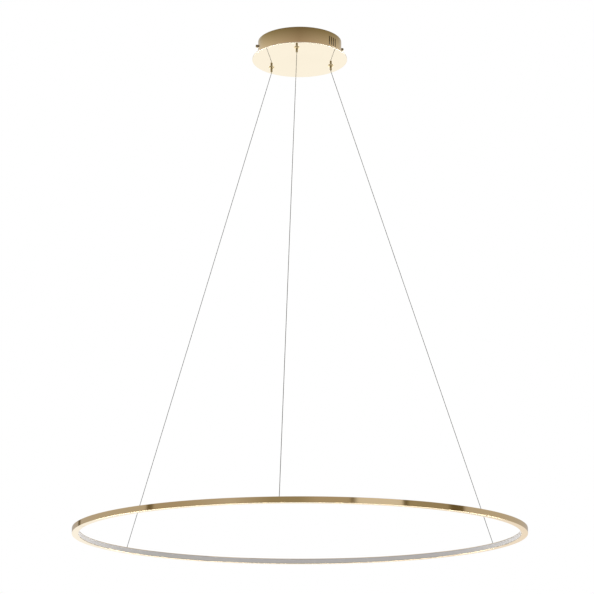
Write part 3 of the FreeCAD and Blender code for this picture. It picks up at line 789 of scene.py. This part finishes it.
plate_metal = metal("plate_mirror", (0.97, 0.87, 0.68), (0.95, 0.85, 0.66),
                    roughness=0.035, spread=0.03, fine=600, broad=12, bump=0.01)
dressed(plate_mesh(), round_grained(plate_metal, 180), "canopy", "canopy_plate")


# ---- wire grippers ----
# Three pale-gold plated brass grippers hold the wires. Each has a thin flange under the plate, a threaded
# barrel with a nut above it, and a darker sprung nipple below that frees its wire when it is pressed up.

GRIPPER_RADIUS = 0.073
FLANGE_RADIUS, FLANGE_THICK = 0.0055, 0.0015
BARREL_RADIUS, BARREL_PITCH = 0.004, 1.5 * THREAD_PITCH
CHAMBER_RADIUS, CHAMBER_FLOOR = 0.0031, 0.002
NIPPLE_RADIUS, NIPPLE_BORE, NIPPLE_FIT = 0.00225, 0.00095, 0.00005
COLLAR_RADIUS, COLLAR_THICK = 0.0028, 0.0015
SOFT_EDGE = 0.0003
GRIPPER_NUT = 0.012
pale_brass = metal("pale_brass", (0.60, 0.50, 0.31), (0.52, 0.42, 0.24),
                   roughness=0.34, spread=0.1, fine=900, broad=60, bump=0.08)
bronze = metal("bronze", (0.34, 0.27, 0.14), (0.26, 0.20, 0.09),
               roughness=0.24, spread=0.1, fine=900, broad=60, bump=0.08)


def gripper_body_mesh(side, azimuth):
    """A turned shell: rounded flange, threaded barrel, and inside it the chamber of the clamp."""
    low, high = (corner[2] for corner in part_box(f"gripper_body_{side}"))
    seat = low + FLANGE_THICK
    corners = [(NIPPLE_RADIUS + NIPPLE_FIT, low), (FLANGE_RADIUS, low), (FLANGE_RADIUS, seat),
               (BARREL_RADIUS, seat)]
    flange = rounded(corners, [0, SOFT_EDGE / 2, SOFT_EDGE / 2, 0])[:-1]
    barrel = thread(BARREL_RADIUS, THREAD_DEPTH, BARREL_PITCH, seat, high)
    floor_level = low + CHAMBER_FLOOR
    inside = [(CHAMBER_RADIUS, barrel[-1][1]), (CHAMBER_RADIUS, floor_level), (flange[0, 0], floor_level),
              (flange[0, 0], low)]
    grid = loop([tuple(point) for point in flange] + barrel + inside, ONCE_ROUND)
    return mesh_of(f"gripper_shell_{side}", [carried(grid, azimuth, GRIPPER_RADIUS)])


def gripper_nipple_mesh(side, azimuth):
    """A turned sleeve: a rounded lower end, a smooth stem and the collar that stops it in the chamber."""
    low, high = (corner[2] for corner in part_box(f"gripper_plunger_{side}"))
    corners = [(NIPPLE_BORE, low), (NIPPLE_RADIUS, low), (NIPPLE_RADIUS, high - COLLAR_THICK),
               (COLLAR_RADIUS, high - COLLAR_THICK), (COLLAR_RADIUS, high), (NIPPLE_BORE, high)]
    outline = rounded(corners, [SOFT_EDGE / 2, SOFT_EDGE, 0, 0, SOFT_EDGE, 0])
    grid = loop([tuple(point) for point in outline], ONCE_ROUND)
    return mesh_of(f"gripper_nipple_{side}", [carried(grid, azimuth, GRIPPER_RADIUS)])


def hexagon_nut(flats, bore, low, high):
    """A nut: its side reaches h / cos(a mod 60 - 30) for a half width h, and where that is past the
    chamfer's circle of 0.97 h the end faces fall away by tan 30 of the difference."""
    reach = flats / 2 / np.cos((ONCE_ROUND % (np.pi / 3)) - np.pi / 6)
    circle = 0.97 * flats / 2
    fall = (reach - circle) * math.tan(math.pi / 6)
    return loop([(bore, low), (circle, low), (reach, low + fall), (reach, high - fall), (circle, high),
                 (bore, high), (bore, low)], ONCE_ROUND)


for side, azimuth in WIRE_AZIMUTHS.items():
    dressed(gripper_body_mesh(side, azimuth), pale_brass, "canopy", f"gripper_body_{side}")
    dressed(gripper_nipple_mesh(side, azimuth), bronze, f"plunger_{side}",
            f"gripper_plunger_{side}")
    painted(pale_brass, f"gripper_plug_{side}")
    painted(wire_steel, f"wire_tail_{side}")

nut_low, nut_high = (corner[2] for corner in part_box("gripper_nuts"))
gripper_nut = hexagon_nut(GRIPPER_NUT, BARREL_RADIUS, nut_low, nut_high)
gripper_nuts = [carried(gripper_nut, azimuth, GRIPPER_RADIUS) for azimuth in WIRE_AZIMUTHS.values()]
dressed(mesh_of("gripper_hexagons", gripper_nuts), zinc, "canopy", "gripper_nuts")


# ---- stud nuts ----
# Five zinc-plated M3 nuts on the plate's studs. Three clamp the drum's tabs down and two the driver's
# feet, so that plate, drum and driver come down as one when the side screws are undone.

STUD_NUT = 0.0055
NUT_THICK = 0.0024
FOOT_THICK = 0.0025


def stud_nuts_mesh():
    """One nut on each stud, at the level of the sheet or foot that it clamps."""
    grids = []
    for azimuth, radius in STUD_PLACES:
        low = PLATE_TOP + (DRUM_WALL if radius == TAB_CENTRE else FOOT_THICK)
        grids.append(carried(hexagon_nut(STUD_NUT, STUD_RADIUS, low, low + NUT_THICK), azimuth, radius))
    return mesh_of("stud_hexagons", grids)


dressed(stud_nuts_mesh(), zinc, "canopy", "stud_nuts")


# ---- side screws ----
# Two knurled dark bronze thumb screws with nylon washers go through the drum's wall into nuts in the
# bracket's ears, and so carry the canopy.

KNOB_START, KNOB_END = 0.08915, 0.09315
KNOB_RADIUS, KNURL_DEPTH, KNURLS = 0.003, 0.00022, 20
SHANK_RADIUS, SHANK_TIP = 0.0015, 0.079397
nylon = plastic("nylon", (0.80, 0.74, 0.60), roughness=0.4, mottle=0.05, size=700, bump=0.05)


def side_screw_mesh(side, azimuth):
    """A threaded shank and a knob whose radius is R - d |sin(n a / 2)|, with its edges rounded off and its
    faces plain, made upright and laid outward at the screws' level."""
    turn = np.linspace(0, 2 * np.pi, 8 * KNURLS + 1)
    knurl = KNURL_DEPTH * np.abs(np.sin(KNURLS / 2 * turn))
    corners = [(0, KNOB_START), (KNOB_RADIUS, KNOB_START), (KNOB_RADIUS, KNOB_END), (0, KNOB_END)]
    edge = rounded(corners, [0, 2 * SOFT_EDGE, 3 * SOFT_EDGE, 0])[:-1]
    knob = loop([(np.maximum(r - knurl * (r > 0.8 * KNOB_RADIUS), 0), z) for r, z in edge], turn)
    shank = thread(SHANK_RADIUS, THREAD_DEPTH, THREAD_PITCH, SHANK_TIP, KNOB_START)
    shank = loop([(0, SHANK_TIP)] + shank + [(0, shank[-1][1])], ONCE_ROUND)
    outward, sideways = laid_out(azimuth)
    grids = []
    for grid in (knob, shank):
        x, y, z = np.moveaxis(grid, -1, 0)[..., None]
        grids.append(z * outward + y * sideways + (x + SCREW_LEVEL) * [0, 0, 1])
    return mesh_of(f"knurled_screw_{side}", grids)


for side, azimuth in SCREW_AZIMUTHS.items():
    dressed(side_screw_mesh(side, azimuth), bronze, f"side_screw_{side}",
            f"thumb_screw_{side}")
    painted(nylon, f"thumb_washer_{side}")


# ---- inside the canopy ----
# A zinc-plated bracket strap is screwed to the ceiling. It carries a moulded mains terminal block and a
# brass earth screw, and below it the black-cased LED driver stands on the plate. A piece of ceiling closes
# the drum from above and keeps most of the light out of it.

CEILING_GAP = 0.0002
INSIDE_SHADE = 0.5

terminal_plastic = plastic("terminal_ivory", (0.87, 0.86, 0.82),
                           roughness=0.35, mottle=0.05, size=400, bump=0.1)
case_plastic = plastic("driver_case", (0.035, 0.033, 0.03), roughness=0.5, mottle=0.3, size=900, bump=0.25)
earth_brass = metal("earth_brass", (0.78, 0.62, 0.32), (0.62, 0.46, 0.22),
                    roughness=0.28, spread=0.2, fine=700, broad=80, bump=0.15)
painted(zinc, "bracket_strap", "terminal_screws")
painted(terminal_plastic, "terminal_block")
painted(earth_brass, "earth_screw")
painted(case_plastic, "driver_tray", "driver_lid")


def ceiling_shade():
    """The ceiling in the canopy's shadow: a mottled dark brown for the camera from below, clear for the
    camera from above, and between the two for light on its way in, more so with each bounce."""
    material, tree = new_material("ceiling_shade")
    tree.nodes.clear()
    mottle = added(tree, "TexNoise", {"Vector": added(tree, "TexCoord")["Object"], "Scale": 60})["Fac"]
    tint = blended(tree, mottle, (0.03, 0.02, 0.006, 1), (0.04, 0.026, 0.008, 1))
    shade = added(tree, "Emission", {"Color": tint})["Emission"]
    ray = added(tree, "LightPath")
    from_above = added(tree, "NewGeometry")["Backfacing"]
    from_below = reckoned(tree, "SUBTRACT", ray["Is Camera Ray"], from_above)
    on_its_way = reckoned(tree, "MULTIPLY", ray["Ray Depth"], INSIDE_SHADE, use_clamp=True)
    dark = reckoned(tree, "MAXIMUM", from_below, on_its_way)
    clear = added(tree, "BsdfTransparent")["BSDF"]
    added(tree, "OutputMaterial", {"Surface": layered(tree, dark, clear, shade)})
    return material


ceiling_line = np.array([(r, CEILING_GAP) for r in (0, DRUM_RADIUS - DRUM_WALL)])
ceiling = mesh_of("ceiling", [swept(ceiling_line, np.linspace(0, 360, STAGE_SIDES + 1))])
ceiling.data.flip_normals()  # it faces down, into the drum
ceiling.data.materials.append(ceiling_shade())
